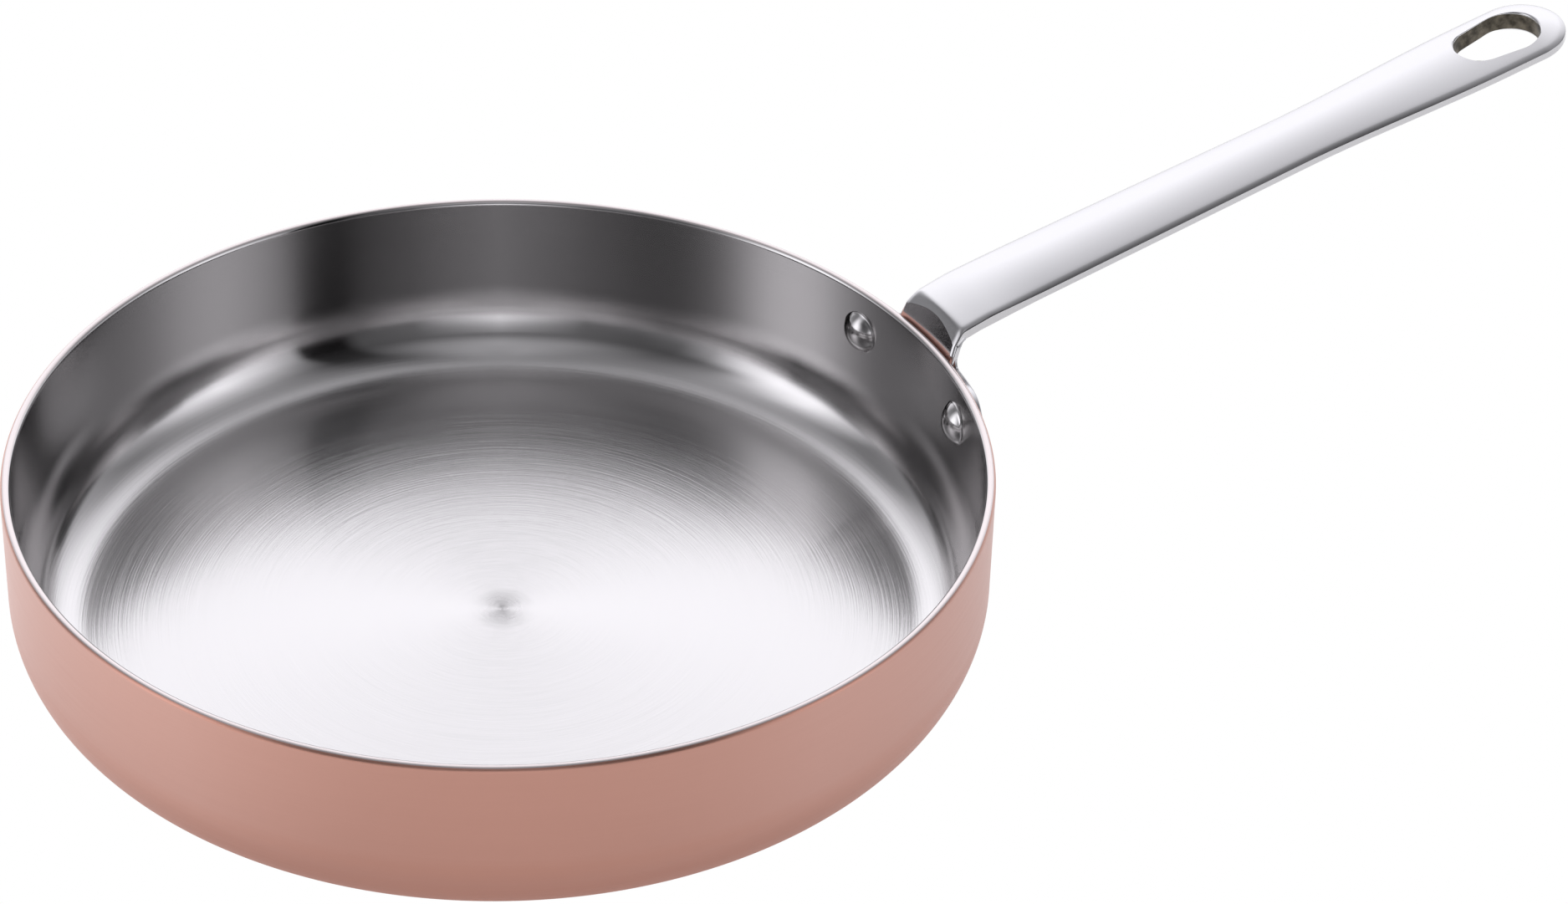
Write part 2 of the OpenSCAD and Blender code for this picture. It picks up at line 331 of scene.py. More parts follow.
def bump(tree, shader, height, strength, distance, under=None):
    """Raises the surface by a height pattern, over another bump if there is one."""
    sockets = {"Strength": strength, "Distance": distance, "Height": height}
    if under is not None:
        sockets["Normal"] = under
    raised = node(tree, "Bump", sockets).outputs[0]
    tree.links.new(raised, shader.inputs["Normal"])
    return raised


def metal(name, shade, roughness, anisotropy=0.0):
    """A metal with its shader, and its tree for the pattern."""
    material = bpy.data.materials.new(name)
    material.use_nodes = True
    tree = material.node_tree
    shader = tree.nodes["Principled BSDF"]
    shader.inputs["Base Color"].default_value = rgba(shade)
    shader.inputs["Metallic"].default_value = 1.0
    shader.inputs["Roughness"].default_value = roughness
    shader.inputs["Anisotropic"].default_value = anisotropy
    return material, tree, shader


def ring_coordinates(tree):
    """Object coordinates as distance from the pan's axis, heading round it, and height."""
    place = node(tree, "TexCoord").outputs["Object"]
    flat = vector_node(tree, "MULTIPLY", place, (1, 1, 0))
    away = node(tree, "VectorMath", {0: flat}, operation="LENGTH").outputs["Value"]
    heading = vector_node(tree, "NORMALIZE", flat)
    height = node(tree, "SeparateXYZ", {0: place}).outputs["Z"]
    return place, away, heading, height


def ring_tangent(tree, place):
    """The direction across grooves that run round the pan's axis."""
    normal = node(tree, "NewGeometry").outputs["Normal"]
    around = vector_node(tree, "CROSS_PRODUCT", (0, 0, 1), place)
    return vector_node(tree, "NORMALIZE", vector_node(tree, "CROSS_PRODUCT", normal, around))


def groove_noise(tree, away, heading, height, width, run, detail=3.0):
    """Noise drawn out round the pan: grooves of one width, each with a run in turns."""
    turned = vector_node(tree, "MULTIPLY", heading, (run, run, 0))
    out = math_node(tree, "MULTIPLY", away, 1 / width)
    up = math_node(tree, "MULTIPLY", height, 1 / width)
    lifted = node(tree, "CombineXYZ", {"Z": out}).outputs[0]
    where = vector_node(tree, "ADD", turned, lifted)
    return node(tree, "TexNoise", {"Vector": where, "W": up, "Scale": 1.0, "Detail": detail,
                                   "Roughness": 0.6}, noise_dimensions="4D").outputs["Fac"]


def brushed_steel(shade):
    """Stainless steel sheet, polished with an abrasive wheel while it spins: fine rings draw
    each light out across them, so the floor shows soft cones from its centre."""
    material, tree, shader = metal("brushed_stainless_steel", shade, 0.16, 1.0)
    place, away, heading, height = ring_coordinates(tree)
    # The real grooves are about 0.05 mm wide; they are drawn 0.45 mm wide so that they show
    fine = groove_noise(tree, away, heading, height, 0.45 * MM, 2.2)
    broad = groove_noise(tree, away, heading, height, 3.5 * MM, 1.2, 1.0)
    rough = map_range(tree, fine, 0.3, 0.7, 0.145, 0.185)
    # The wheel works the floor; bend and wall keep more of the sheet's mirror
    floor_end, bend_start = 3 * MM, 8 * MM
    kept = map_range(tree, height, floor_end, bend_start, 1.0, 0.66)
    rough = math_node(tree, "MULTIPLY", rough, kept)
    # Near the axis the wheel hardly moves over the sheet, and leaves a duller spot
    dull = map_range(tree, away, 1.5 * MM, 9 * MM, 2.0, 1.0)
    rough = math_node(tree, "MULTIPLY", rough, dull)
    tree.links.new(rough, shader.inputs["Roughness"])
    grooves = math_node(tree, "MULTIPLY_ADD", broad, 0.5, fine)
    relief = map_range(tree, height, floor_end, bend_start, 1.0, 0.06)
    bump(tree, shader, grooves, relief, 0.04 * MM)
    tree.links.new(ring_tangent(tree, place), shader.inputs["Tangent"])
    return material


def satin_copper(shade):
    """Copper sheet, brushed on the lathe to a satin: soft pink reflections with no sharp edge,
    drawn up and down the wall, and very fine level lines."""
    material, tree, shader = metal("satin_brushed_copper", shade, 0.36, 0.6)
    place, away, heading, height = ring_coordinates(tree)
    # The real lines are under 0.1 mm; they are drawn 0.4 mm wide so that they show
    fine = groove_noise(tree, away, heading, height, 0.4 * MM, 3.0)
    rough = map_range(tree, fine, 0.3, 0.7, 0.33, 0.4)
    tree.links.new(rough, shader.inputs["Roughness"])
    # Painted sheen: the colour is mixed towards a paler one where the skin is seen at a slant,
    # standing in for the whiter reflection of the copper there
    pale = rgba(shade, (1.03, 1.14, 1.21))
    slant = node(tree, "LayerWeight", {"Blend": 0.5}).outputs["Facing"]
    sheen_share = map_range(tree, slant, 0.2, 0.42)
    # Sockets 6 and 7 of this node take its two colours, and output 2 gives the mixed one
    painted_sheen = node(tree, "Mix", {0: sheen_share, 6: rgba(shade), 7: pale}, data_type="RGBA")
    # Painted shade: the skin is painted a shade darker and more red round the bend, fading out by
    # 22 mm up the wall, for the shadowed table that the bend mirrors
    painted_bend_shade = rgba(shade, (0.88, 0.73, 0.65))
    up = map_range(tree, height, 0.0, 22 * MM)
    skin = node(tree, "Mix", {0: up, 6: painted_bend_shade, 7: painted_sheen.outputs[2]}, data_type="RGBA")
    tree.links.new(skin.outputs[2], shader.inputs["Base Color"])
    bump(tree, shader, fine, 0.15, 0.01 * MM)
    tree.links.new(ring_tangent(tree, place), shader.inputs["Tangent"])
    return material


def turned_edge(shade):
    """Aluminium at the rim, turned round and polished: a bright line with faint turning marks."""
    material, tree, shader = metal("turned_aluminium", shade, 0.24, 0.3)
    place, away, heading, height = ring_coordinates(tree)
    # Turning marks of 0.1 mm, drawn 0.3 mm wide so that they show
    fine = groove_noise(tree, away, heading, height, 0.3 * MM, 3.0)
    rough = map_range(tree, fine, 0.0, 1.0, 0.18, 0.3)
    tree.links.new(rough, shader.inputs["Roughness"])
    tree.links.new(ring_tangent(tree, place), shader.inputs["Tangent"])
    return material


def polished_cast_steel(shade, name, grain):
    """Cast stainless steel, belt polished: near a mirror, with a faint swell and hair lines.
    The grain gives the lines to the metre along each axis."""
    material, tree, shader = metal(name, shade, 0.14)
    place = node(tree, "TexCoord").outputs["Object"]
    # The handle's hair lines of 0.05 mm are drawn 0.4 mm wide so that they show, and run
    # 40 times as long along it
    drawn = node(tree, "Mapping", {"Vector": place, "Scale": grain}).outputs[0]
    lines = node(tree, "TexNoise", {"Vector": drawn, "Scale": 1.0, "Detail": 3.0}).outputs["Fac"]
    # The swell left by hand polishing, 12 mm from wave to wave
    swell = noise(tree, place, 12 * MM, 1.0)
    rough = map_range(tree, lines, 0.3, 0.7, 0.1, 0.18)
    tree.links.new(rough, shader.inputs["Roughness"])
    scratched = bump(tree, shader, lines, 0.02, 0.01 * MM)
    bump(tree, shader, swell, 0.2, 0.06 * MM, scratched)
    return material


def rough_cast_steel(shade):
    """The casting skin left inside the hanging hole: dull, brownish and mottled."""
    material, tree, shader = metal("rough_cast_steel", shade, 0.45)
    place = node(tree, "TexCoord").outputs["Object"]
    # Mottling of 2.5 mm with 0.6 mm pits in it
    mottle = noise(tree, place, 2.5 * MM, 2.0)
    pits = noise(tree, place, 0.6 * MM, 2.0)
    tone = node(tree, "ValToRGB", {"Fac": mottle})
    low, high = tone.color_ramp.elements
    low.position, low.color = 0.35, rgba(shade, (0.35, 0.35, 0.35))
    high.position, high.color = 0.68, rgba(shade, (1.15, 1.15, 1.15))
    tree.links.new(tone.outputs["Color"], shader.inputs["Base Color"])
    bump(tree, shader, pits, 0.5, 0.12 * MM)
    return material


# Pan body

def wall_thickness(s):
    """Thickness of the three sheets together."""
    return s.skin_t + s.core_t + s.liner_t


def sheet_section(s, depth_a, depth_b, is_liner=False):
    """Half section of one sheet between two depths from the outside, from axis to axis.
    The liner's inner face has a wider bend and the centre mark."""
    rim_r, lip_r = s.rim_d / 2, wall_thickness(s) / 2
    lip_x, lip_z, bend_x = rim_r - lip_r, s.height - lip_r, rim_r - s.bend_r
    # Extra rings this close to a bend keep its shading off the flat beside it
    ease = 0.4 * MM

    def turn_at(depth):
        return math.degrees(math.acos(max(-1.0, min(1.0, (rim_r - depth - lip_x) / lip_r))))

    def up(depth, widened=False):
        """One face of the sheet, from beside the axis over the bend to the lip."""
        r, turn = s.bend_r - depth, 0
        if widened:
            # From this turn on, the face goes over into the wall on a wider arc
            wide_r, turn = 26 * MM, -30
            r = (r - wide_r * (1 - cos_deg(turn))) / cos_deg(turn)
        bend = arc(bend_x, depth + r, r, -90, turn, 28)
        if widened:
            wide_z = bend[-1][1] + wide_r * sin_deg(-turn)
            bend += arc(rim_r - depth - wide_r, wide_z, wide_r, turn, 0, 14)[1:]
        bend_top, top = bend[-1][1], lip_z + lip_r * sin_deg(turn_at(depth))
        levels = [bend_top + ease, bend_top + 6 * MM, top - 9 * MM, top - ease]
        return ([(bend_x * k, depth) for k in (0.25, 0.5, 0.75)] + [(bend_x - ease, depth)]
                + bend + [(rim_r - depth, z) for z in levels])

    lip = arc(lip_x, lip_z, lip_r, turn_at(depth_a), turn_at(depth_b), 12)
    inner = up(depth_b, is_liner)[::-1]
    if is_liner:
        ball_z = depth_b - s.mark_depth + s.mark_ball_r
        edge = math.degrees(math.acos((s.mark_ball_r - s.mark_depth) / s.mark_ball_r))
        dip = arc(0, ball_z, s.mark_ball_r, -90 + edge, -90, 6)
        inner += [(dip[0][0] + 0.25 * MM, depth_b)] + dip[:-1] + [(0, dip[-1][1])]
    else:
        inner += [(0, depth_b)]
    return [(0, depth_a)] + up(depth_a) + lip + inner


class PAN_OT_clad_body(bpy.types.Operator):
    """Spin the copper skin, the aluminium core and the steel liner"""

    bl_idname = "omelette_pan.clad_body"
    bl_label = "Clad Body"
    bl_options = {"REGISTER", "UNDO"}

    def execute(self, context):
        s, f = context.scene.pan_body, context.scene.pan_finishes
        to_core, to_liner = s.skin_t, s.skin_t + s.core_t
        finish(spun(sheet_section(s, 0, to_core)), "copper_body_skin",
               [satin_copper(f.copper)], "copper_skin")
        finish(spun(sheet_section(s, to_core, to_liner)), "aluminium_body_core",
               [turned_edge(f.core)], "aluminium_core")
        finish(spun(sheet_section(s, to_liner, wall_thickness(s), is_liner=True)),
               "steel_body_liner", [brushed_steel(f.steel)], "steel_liner")
        return {"FINISHED"}


# Rivets

def dome(d, h, base, way, steps):
    """Half section of a domed head, from its edge to its top on the axis. It stands on the
    base, up if the way is 1 and down if it is -1."""
    ball_r = (d * d / 4 + h * h) / (2 * h)
    edge = math.degrees(math.asin(d / 2 / ball_r))
    points = arc(0, 0, ball_r, 90 - edge, 90, steps)
    return [(x, base + way * (z - ball_r + h)) for x, z in points[:-1]] + [(0, base + way * h)]


class PAN_OT_rivets(bpy.types.Operator):
    """Turn the two rivets that hold the handle"""

    bl_idname = "omelette_pan.rivets"
    bl_label = "Rivets"
    bl_options = {"REGISTER", "UNDO"}

    def execute(self, context):
        b, r = context.scene.pan_body, context.scene.pan_rivets
        h, f = context.scene.pan_handle, context.scene.pan_finishes
        wall_t = wall_thickness(b)
        # The heads reach into the curved metal by the seat; the ease rounds their rims
        seat, shank_r, ease = 0.2 * MM, r.shank_d / 2, 0.12 * MM
        inside = dome(r.head_d - 2 * ease, r.head_h - ease, -wall_t - seat - ease,
                      way=-1, steps=12)
        outside = dome(r.tail_d - 2 * ease, r.tail_h - ease, h.flange_t + ease,
                       way=1, steps=10)
        section = (inside[::-1]
                   + [(r.head_d / 2 - 0.3 * ease, -wall_t - seat - 0.7 * ease),
                      (r.head_d / 2, -wall_t - seat), (r.head_d / 2, -wall_t + seat),
                      (shank_r, -wall_t + seat), (shank_r, h.flange_t - seat),
                      (r.tail_d / 2, h.flange_t - seat), (r.tail_d / 2, h.flange_t),
                      (r.tail_d / 2 - 0.3 * ease, h.flange_t + 0.7 * ease)]
                   + outside)
        material = polished_cast_steel(f.rivet, "polished_rivet_steel", (600, 600, 600))
        for name, side in (("left", 1), ("right", -1)):
            bm = spun(section, RIVET_FACETS)
            place = (Matrix.Rotation(side * r.pitch / b.rim_d, 4, "Z")
                     @ Matrix.Translation((b.rim_d / 2, 0, b.height - r.drop))
                     @ Matrix.Rotation(math.pi / 2, 4, "Y"))
            bmesh.ops.transform(bm, matrix=place, verts=bm.verts)
            finish(bm, "rivet_" + name + "_turned", [material], "rivet_" + name)
        return {"FINISHED"}


# Handle

# Where the strap has come to its full section, measured from the root line: its sides, edge
# and belly, the dip of its edge line, its crown, and its upper and lower corners
ROOT_END_X, DIP_END_X, CROWN_END_X = 26 * MM, 10 * MM, 30 * MM
UPPER_END_X, LOWER_END_X = 14 * MM, 6 * MM
# The crown, the belly and the lower corners at the root line, and how much the crown falls for
# each unit of the lip
ROOT_CROWN_H, ROOT_BELLY_H, ROOT_UNDER_R, LIP_CROWN_FALL = 0.8 * MM, 0.5 * MM, 0.2 * MM, 0.15
# Stations along the strap near its root, where its section changes most, in millimetres
ROOT_STATIONS = (-1.8, -1.3, -0.9, -0.6, -0.3, 0, 0.3, 0.6, 0.9, 1.3, 1.8, 2.25, 3, 4, 5, 6, 7, 8,
                 9, 10, 11.5, 13, 15, 17, 19, 21.5, 24, 26, 28.5)
# Evenly spaced stations over the rest of it
EVEN_START_X, EVEN_STATIONS = 31 * MM, 56


def ramp(u):
    """A smooth rise from 0 to 1."""
    v = min(max(u, 0.0), 1.0)
    return v * v * (3 - 2 * v)


def mix(a, b, u):
    """The value that lies the share u on the way from a to b."""
    return a + (b - a) * u


def half_width(h, x):
    """Half width of the strap at distance x behind the root line."""
    taper_x, flare_x = ROOT_END_X, h.strap_l - h.end_w
    if x < 0:
        return mix(h.root_w, h.lip_w, -x / h.lip_l) / 2
    if x < taper_x:
        return mix(h.root_w, h.front_w, ramp(x / taper_x)) / 2
    if x < h.waist_x:
        return mix(h.front_w, h.waist_w, (x - taper_x) / (h.waist_x - taper_x)) / 2
    return mix(h.waist_w, h.end_w, ramp((x - h.waist_x) / (flare_x - h.waist_x))) / 2


def strap_half_section(h, x):
    """Half section of the strap, from the middle of its underside round to its crown."""
    w, full = half_width(h, x), ramp(x / ROOT_END_X)
    low = -h.edge_t - h.root_extra_t * (1 - full) + h.lip_slope * min(x, 0)
    # The top turns down into the lip over a soft edge
    fall = (x - math.hypot(x, h.lip_edge)) / 2
    high = h.lip_slope * fall - h.root_dip * (1 - ramp(x / DIP_END_X))
    crown = mix(ROOT_CROWN_H, h.crown_h, ramp(x / CROWN_END_X)) + LIP_CROWN_FALL * min(x, 0)
    belly = mix(ROOT_BELLY_H, h.belly_h, full)
    r = mix(h.shoulder_r, h.upper_r, ramp(x / UPPER_END_X))
    a = mix(ROOT_UNDER_R, h.under_r, ramp(x / LOWER_END_X))
    under = [(t * (w - a), low - belly * (1 - t * t))
             for t in (0, 0.18, 0.36, 0.54, 0.7, 0.84, 0.94)]
    # The crown falls off faster over its last part, to a crisp edge
    corner, brow = 50, 0.85
    top_y, top_z = w - r + r * cos_deg(corner), high - h.brow_h

    def crown_at(t):
        return high + crown * (1 - t * t) - h.brow_h * max(0, (t - brow) / (1 - brow)) ** 2

    over = [(t * top_y, crown_at(t))
            for t in (0.98, 0.96, 0.93, 0.9, 0.87, 0.82, 0.76, 0.66, 0.54, 0.42, 0.3, 0.2, 0.1, 0)]
    return (under + arc(w - a, low + a, a, -90, 0, 6)
            + arc(w - r, top_z - r * sin_deg(corner), r, 0, corner, 6) + over)


def strap(h):
    """The crowned strap: one half drawn out station by station, its tip spun, then mirrored."""
    # The lip is drawn past its foot, and the room for the wall cuts it off
    front = h.lip_l + 1.6 * MM
    end_x = h.strap_l - h.end_w / 2
    xs = [-front, -front / 2] + [x * MM for x in ROOT_STATIONS]
    xs += [mix(EVEN_START_X, end_x, i / EVEN_STATIONS) for i in range(EVEN_STATIONS + 1)]
    bm = bmesh.new()
    verts, edges = chain(bm, [(xs[0], y, z) for y, z in strap_half_section(h, xs[0])])
    for x in xs[1:]:
        verts, edges = pull(bm, verts, edges, [(x, y, z) for y, z in strap_half_section(h, x)])
    bmesh.ops.spin(bm, geom=verts + edges, cent=(end_x, 0, 0), axis=(0, 0, 1),
                   angle=-math.pi / 2, steps=26)
    bmesh.ops.remove_doubles(bm, verts=bm.verts, dist=WELD)
    bmesh.ops.mirror(bm, geom=bm.verts[:] + bm.edges[:] + bm.faces[:], merge_dist=WELD, axis="Y")
    bmesh.ops.remove_doubles(bm, verts=bm.verts, dist=WELD)
    bmesh.ops.holes_fill(bm, edges=bm.edges, sides=0)
    return bm


def neck_sizes(b, r, h):
    """Heights and lean that the neck and the flange share."""
    flange_top = b.height - r.drop + h.lobe_r
    foot_fall = h.root_dip + h.lip_slope * h.lip_l
    foot_z = b.height + h.rise - h.lip_l * math.sin(h.tilt) - foot_fall * math.cos(h.tilt)
    return flange_top, foot_z, math.atan(h.neck_gap / (foot_z - flange_top))


def neck_section(b, r, h):
    """Section of the leaning neck, from inside the flange up into the strap."""
    flange_top, foot_z, lean = neck_sizes(b, r, h)
    rim_r = b.rim_d / 2
    flange_r, root_r = rim_r + h.flange_t, rim_r + h.root_gap
    sin_t, cos_t = math.sin(h.tilt), math.cos(h.tilt)
    under_z = b.height + h.rise - (h.edge_t + h.root_extra_t) / cos_t - root_r * math.tan(h.tilt)
    back_r = rim_r + h.neck_t - flange_top * math.tan(lean)
    # The centre of the fillet that touches the neck's back and the strap's underside
    p = h.neck_fillet + back_r * math.cos(lean)
    q = h.neck_fillet - under_z * cos_t
    cx = (p * cos_t - q * math.sin(lean)) / math.cos(lean + h.tilt)
    cz = (p * sin_t - q * math.cos(lean)) / math.cos(lean + h.tilt)
    bend = arc(cx, cz, h.neck_fillet, 180 - math.degrees(lean), 90 + math.degrees(h.tilt), 12)
    # The foot is sunk in the flange, behind its outer face
    inset, sink = 0.6 * MM, 4 * MM
    return ([(rim_r - MM, flange_top - sink), (flange_r - inset, flange_top - sink),
             (flange_r - inset, flange_top + (h.flange_t - inset - h.neck_t) / math.tan(lean))]
            + bend + [(bend[-1][0] - 0.2 * MM, bend[-1][1] + MM),
                      (root_r, foot_z + 1.4 * MM), (rim_r - MM, foot_z - 2.6 * MM)])


def neck_front(b, r, h):
    """Front view of the neck as an outline: narrow under the strap, filleted to the flange."""
    flange_top, foot_z, _ = neck_sizes(b, r, h)
    half, fillet = h.neck_w / 2, h.side_fillet
    side = ([(half + fillet, flange_top - 5 * MM)]
            + arc(half + fillet, flange_top + fillet, fillet, 270, 180, 12)
            + [(h.lip_w / 2, foot_z), (h.root_w / 2, foot_z + 1.5 * MM),
               (h.root_w / 2, foot_z + 4 * MM)])
    return side + [(-y, z) for y, z in side[::-1]]


def corner_cutter(b, r, h, side):
    """Cuts the round on one of the neck's upright front corners."""
    flange_top, foot_z, lean = neck_sizes(b, r, h)
    reach = h.lip_w / 2 - h.neck_round
    front = (math.sqrt((b.rim_d / 2 + h.neck_gap) ** 2 - reach ** 2)
             + h.neck_round / math.cos(lean))
    splay = math.atan((h.neck_w - h.lip_w) / 2 / (foot_z - flange_top - h.side_fillet))
    # How far the cutter reaches from the corner
    inward, aside, below, tall = 6 * MM, 8 * MM, 8 * MM, 14 * MM
    outline = ([(-inward, 0)] + arc(0, 0, h.neck_round, 180, 90, 8)
               + [(0, aside), (-inward, aside)])
    place = (Matrix.Scale(side, 4, (0, 1, 0)) @ Matrix.Translation((front, reach, foot_z))
             @ Matrix.Rotation(lean, 4, "Y") @ Matrix.Rotation(splay, 4, "X")
             @ Matrix.Translation((0, 0, -below)))
    return prism(outline, tall, place)


def flange(b, r, h):
    """The curved flange: an oblong outline drawn out from the wall, over a rounded edge and
    back in to its middle line."""
    rim_r, flange_r, z0 = b.rim_d / 2, b.rim_d / 2 + h.flange_t, b.height - r.drop
    half, edge, last = r.pitch / 2, 0.6 * MM, 0.4 * MM

    def outline(away, lobe):
        top = [(s * half / 12, lobe) for s in range(12, -13, -1)]
        near = top + [(-half + lobe * cos_deg(t), lobe * sin_deg(t)) for t in range(100, 261, 10)]
        oblong = near + [(-s, -z) for s, z in near]
        return [(away * math.cos(s / rim_r), away * math.sin(s / rim_r), z0 + z)
                for s, z in oblong]

    bm = bmesh.new()
    verts, edges = chain(bm, outline(rim_r, last), closed=True)
    stages = [(rim_r, h.lobe_r)]
    stages += [(flange_r - edge + edge * sin_deg(t), h.lobe_r - edge + edge * cos_deg(t))
               for t in range(0, 91, 18)]
    stages += [(flange_r, (h.lobe_r - edge) * k) for k in (0.97, 0.75, 0.5, 0.25)]
    for away, lobe in stages + [(flange_r, last)]:
        verts, edges = pull(bm, verts, edges, outline(away, lobe))
    bmesh.ops.holes_fill(bm, edges=bm.edges, sides=0)
    return bm


def hole_cutter(h):
    """Cutter of the hanging hole, flared a little where it meets the top and the underside."""
    big_x = h.strap_l - h.hole_rim - h.hole_big_r
    small_x = big_x - h.hole_run
    turn = math.degrees(math.asin((h.hole_big_r - h.hole_small_r) / h.hole_run))

    def outline(grow):
        return (arc(big_x, 0, h.hole_big_r + grow, -90 - turn, 90 + turn, 36)
                + arc(small_x, 0, h.hole_small_r + grow, 90 + turn, 270 - turn, 30))

    bm = bmesh.new()
    top, low, r = h.crown_h * 0.75, -h.edge_t - h.belly_h * 0.75, 0.55 * MM
    stages = [(r, low - 3 * MM), (r, low)]
    stages += [(r - r * sin_deg(t), low + r - r * cos_deg(t)) for t in (30, 60, 90)]
    stages += [(r - r * sin_deg(t), top - r + r * cos_deg(t)) for t in (90, 60, 30)]
    stages += [(r, top), (r, top + 3 * MM)]
    first_grow, first_z = stages[0]
    verts, edges = chain(bm, [(x, y, first_z) for x, y in outline(first_grow)], closed=True)
    for grow, z in stages[1:]:
        verts, edges = pull(bm, verts, edges, [(x, y, z) for x, y in outline(grow)])
    bmesh.ops.holes_fill(bm, edges=bm.edges, sides=0)
    for face in bm.faces:
        # The straight wall between the two flares keeps its casting skin
        upright, middle_z = abs(face.normal.z) < 0.05, face.calc_center_median().z
        face.material_index = int(upright and low + r < middle_z < top - r)
    return bm


def crease(mesh, on_face, least_turn):
    """Makes the border of a curved face crisp where it turns by at least this many degrees."""
    inside = [on_face(vert.co) for vert in mesh.vertices]
    beside = {}
    for polygon in mesh.polygons:
        for key in polygon.edge_keys:
            beside.setdefault(key, []).append(polygon)
    for edge in mesh.edges:
        pair = beside.get(edge.key, ())
        if len(pair) == 2:
            held = [all(inside[v] for v in polygon.vertices) for polygon in pair]
            turn = pair[0].normal.angle(pair[1].normal, 0)
            if held[0] != held[1] and math.degrees(turn) > least_turn:
                edge.use_edge_sharp = True


class PAN_OT_handle(bpy.types.Operator):
    """Make the cast handle from strap, neck and flange, and cut its hanging hole"""

    bl_idname = "omelette_pan.handle"
    bl_label = "Cast Handle"
    bl_options = {"REGISTER", "UNDO"}

    def execute(self, context):
        b, r = context.scene.pan_body, context.scene.pan_rivets
        h, f = context.scene.pan_handle, context.scene.pan_finishes
        flange_top, _, lean = neck_sizes(b, r, h)
        rim_r = b.rim_d / 2
        at_strap = (Matrix.Translation((rim_r + h.root_gap, 0, b.height + h.rise))
                    @ Matrix.Rotation(-h.tilt, 4, "Y"))

        finishes = [polished_cast_steel(f.cast, "polished_cast_steel", (60, 2400, 2400)),
                    rough_cast_steel(f.casting)]
        neck = sector(neck_section(b, r, h), half_turn=math.radians(9), steps=36)
        handle = loose(neck, "cast_handle", finishes[:1])
        # The front view is drawn along X, from inside the pan to beyond the neck
        front = Matrix(((0, 0, 1, 94 * MM), (1, 0, 0, 0), (0, 1, 0, 0), (0, 0, 0, 1)))
        carve(handle, loose(prism(neck_front(b, r, h), 60 * MM, front), "front_view"), "INTERSECT")

        top = strap(h)
        bmesh.ops.transform(top, matrix=at_strap, verts=top.verts)
        carve(handle, loose(top, "strap"), "UNION")

        # Room for the wall: a cylinder, then a cone that gives the neck its lean. Its facets are
        # fine, because the neck mirrors the rim at a low angle.
        rise, inside_r = 30 * MM, rim_r - 20 * MM
        section = [(inside_r, 0), (rim_r, 0), (rim_r, flange_top),
                   (rim_r + rise * math.tan(lean), flange_top + rise),
                   (inside_r, flange_top + rise)]
        room = sector(section, half_turn=math.radians(12), steps=176)
        carve(handle, loose(room, "wall_room"), "DIFFERENCE")
        for side in (1, -1):
            carve(handle, loose(corner_cutter(b, r, h, side), "corner"), "DIFFERENCE")

        carve(handle, loose(flange(b, r, h), "flange"), "UNION")
        hole = hole_cutter(h)
        bmesh.ops.transform(hole, matrix=at_strap, verts=hole.verts)
        carve(handle, loose(hole, "hole", finishes), "DIFFERENCE")

        bm = bmesh.new()
        bm.from_mesh(handle.data)
        bpy.data.objects.remove(handle)
        bmesh.ops.remove_doubles(bm, verts=bm.verts, dist=2 * WELD)
        piece = finish(bm, "cast_steel_handle", finishes, "handle",
                       HANDLE_SMOOTH_ANGLE)

        def on_cone(at):
            cone_r = rim_r + (at.z - flange_top) * math.tan(lean)
            return abs(math.hypot(at.x, at.y) - cone_r) < 0.01 * MM

        crease(piece.data, on_cone, least_turn=14)
        weigh = piece.modifiers.new("even_normals", "WEIGHTED_NORMAL")
        weigh.keep_sharp = True
        return {"FINISHED"}


# Stage

# The light round the pan. The headings are in degrees from straight behind it, positive to
# the photograph's right. Each ring has its height above level, in degrees, and a brightness
# for each heading. A wide soft light stands behind the pan, a soft box on each side, and dark
# screens in front, with the camera between them.
HEADINGS = (-180, -170, -160, -146, -136, -128, -120, -110, -98, -88, -78, -60, -40, -24, 24, 42,
            58, 72, 86, 98, 110, 122, 130, 132, 142, 146, 160, 170, 180)
LIGHT_RINGS = (
    (6, (1.6, 0.9, 0.16, 0.19, 0.27, 0.5, 1.22, 1.7, 1.7, 0.9, 0.44, 0.33, 1, 1.25, 1.25, 1.05,
         0.68, 0.55, 0.86, 1.21, 1.5, 1, 0.5, 0, 0, 0.05, 0.1, 0.9, 1.6)),
    (18, (0.6, 0.35, 0.14, 0.1, 0.14, 0.43, 1.13, 1.64, 1.59, 0.83, 0.27, 0.31, 0.96, 1.5, 1.5,
          1.01, 0.51, 0.32, 0.51, 1.05, 1.4, 0.93, 0.5, 0, 0, 0.1, 0.15, 0.35, 0.6)),
    (33, (0.14, 0.14, 0.13, 0.09, 0.08, 0.12, 0.28, 1.08, 1.3, 0.67, 0.22, 0.25, 0.95, 1.55, 1.55,
          1.02, 0.43, 0.22, 0.37, 0.7, 0.81, 0.54, 0.24, 0.02, 0.02, 0.09, 0.12, 0.14, 0.14)),
    (50, (0.5, 0.42, 0.38, 0.24, 0.15, 0.18, 0.28, 0.46, 0.6, 0.48, 0.36, 0.43, 0.86, 1.2, 1.2,
          0.87, 0.52, 0.37, 0.36, 0.39, 0.35, 0.19, 0.04, 0.03, 0.03, 0.15, 0.34, 0.42, 0.5)),
    (68, (0.42, 0.48, 0.39, 0.27, 0.27, 0.27, 0.27, 0.27, 0.32, 0.37, 0.41, 0.52, 0.74, 0.85,
          0.83, 0.71, 0.53, 0.45, 0.36, 0.28, 0.21, 0.14, 0.09, 0.09, 0.09, 0.15, 0.38, 0.45,
          0.42)),
)
OVERHEAD_LEVEL = 0.32
# The colour ramps hold 0 to 1, so the levels are divided by this and multiplied again later
BRIGHTEST = 2.0
EXPOSURE = 1.2

FLOOR_R = 6.0
